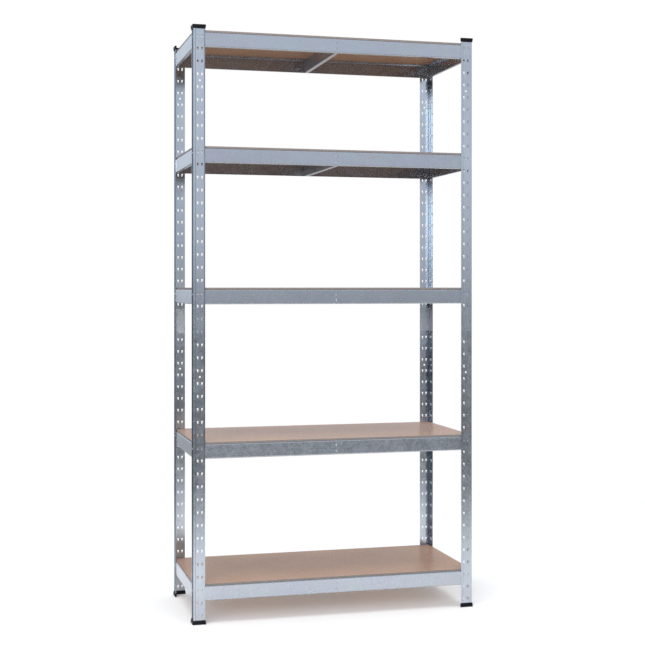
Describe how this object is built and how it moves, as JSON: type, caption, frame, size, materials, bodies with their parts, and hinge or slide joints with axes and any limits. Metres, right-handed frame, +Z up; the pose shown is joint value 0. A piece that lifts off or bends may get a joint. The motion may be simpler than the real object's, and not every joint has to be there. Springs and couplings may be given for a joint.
{
  "type": "boltless steel shelving",
  "caption": "Free-standing galvanised shelving: keyhole angle posts in halves, hook-in beams, centre crossbars, loose fibreboard shelves, plastic caps and feet.",
  "frame": {"origin": "middle of the footprint, on the floor plane under the feet", "axes": "+X across the front to the right, +Y from front to back, +Z up"},
  "size_m": [0.8944, 0.4044, 1.8],
  "materials": {
    "galvanised_post": "galvanised sheet with fine spangle, semi-matt",
    "galvanised_beam": "smooth galvanised sheet, satin",
    "rivet": "bright zinc plated",
    "fibreboard": "raw medium-density fibreboard, matt, darker sawn edges",
    "black_plastic": "moulded black polyethylene, slight sheen"
  },
  "bodies": {
    "frame": {"post_front_left_lower": "galvanised_post", "post_front_left_upper": "galvanised_post", "post_front_right_lower": "galvanised_post", "post_front_right_upper": "galvanised_post", "post_back_left_lower": "galvanised_post", "post_back_left_upper": "galvanised_post", "post_back_right_lower": "galvanised_post", "post_back_right_upper": "galvanised_post", "splice_front_left": "galvanised_post", "splice_front_right": "galvanised_post", "splice_back_left": "galvanised_post", "splice_back_right": "galvanised_post", "cap_front_left": "black_plastic", "cap_front_right": "black_plastic", "cap_back_left": "black_plastic", "cap_back_right": "black_plastic", "foot_front_left": "black_plastic", "foot_front_right": "black_plastic", "foot_back_left": "black_plastic", "foot_back_right": "black_plastic", "front_beam_1": "galvanised_beam", "front_beam_2": "galvanised_beam", "front_beam_3": "galvanised_beam", "front_beam_4": "galvanised_beam", "front_beam_5": "galvanised_beam", "back_beam_1": "galvanised_beam", "back_beam_2": "galvanised_beam", "back_beam_3": "galvanised_beam", "back_beam_4": "galvanised_beam", "back_beam_5": "galvanised_beam", "left_beam_1": "galvanised_beam", "left_beam_2": "galvanised_beam", "left_beam_3": "galvanised_beam", "left_beam_4": "galvanised_beam", "left_beam_5": "galvanised_beam", "right_beam_1": "galvanised_beam", "right_beam_2": "galvanised_beam", "right_beam_3": "galvanised_beam", "right_beam_4": "galvanised_beam", "right_beam_5": "galvanised_beam", "crossbar_1": "galvanised_beam", "crossbar_2": "galvanised_beam", "crossbar_3": "galvanised_beam", "crossbar_4": "galvanised_beam", "crossbar_5": "galvanised_beam", "rivets_1": "rivet", "rivets_2": "rivet", "rivets_3": "rivet", "rivets_4": "rivet", "rivets_5": "rivet"},
    "board_1": {"board_1": "fibreboard"},
    "board_2": {"board_2": "fibreboard"},
    "board_3": {"board_3": "fibreboard"},
    "board_4": {"board_4": "fibreboard"},
    "board_5": {"board_5": "fibreboard"}
  },
  "joints": [
    {"name": "lift_board_1", "type": "slide", "parent": "frame", "child": "board_1", "axis": [0, 0, 1], "range_m": [0, 0.25]},
    {"name": "lift_board_2", "type": "slide", "parent": "frame", "child": "board_2", "axis": [0, 0, 1], "range_m": [0, 0.25]},
    {"name": "lift_board_3", "type": "slide", "parent": "frame", "child": "board_3", "axis": [0, 0, 1], "range_m": [0, 0.25]},
    {"name": "lift_board_4", "type": "slide", "parent": "frame", "child": "board_4", "axis": [0, 0, 1], "range_m": [0, 0.25]},
    {"name": "lift_board_5", "type": "slide", "parent": "frame", "child": "board_5", "axis": [0, 0, 1], "range_m": [0, 0.25]}
  ]
}
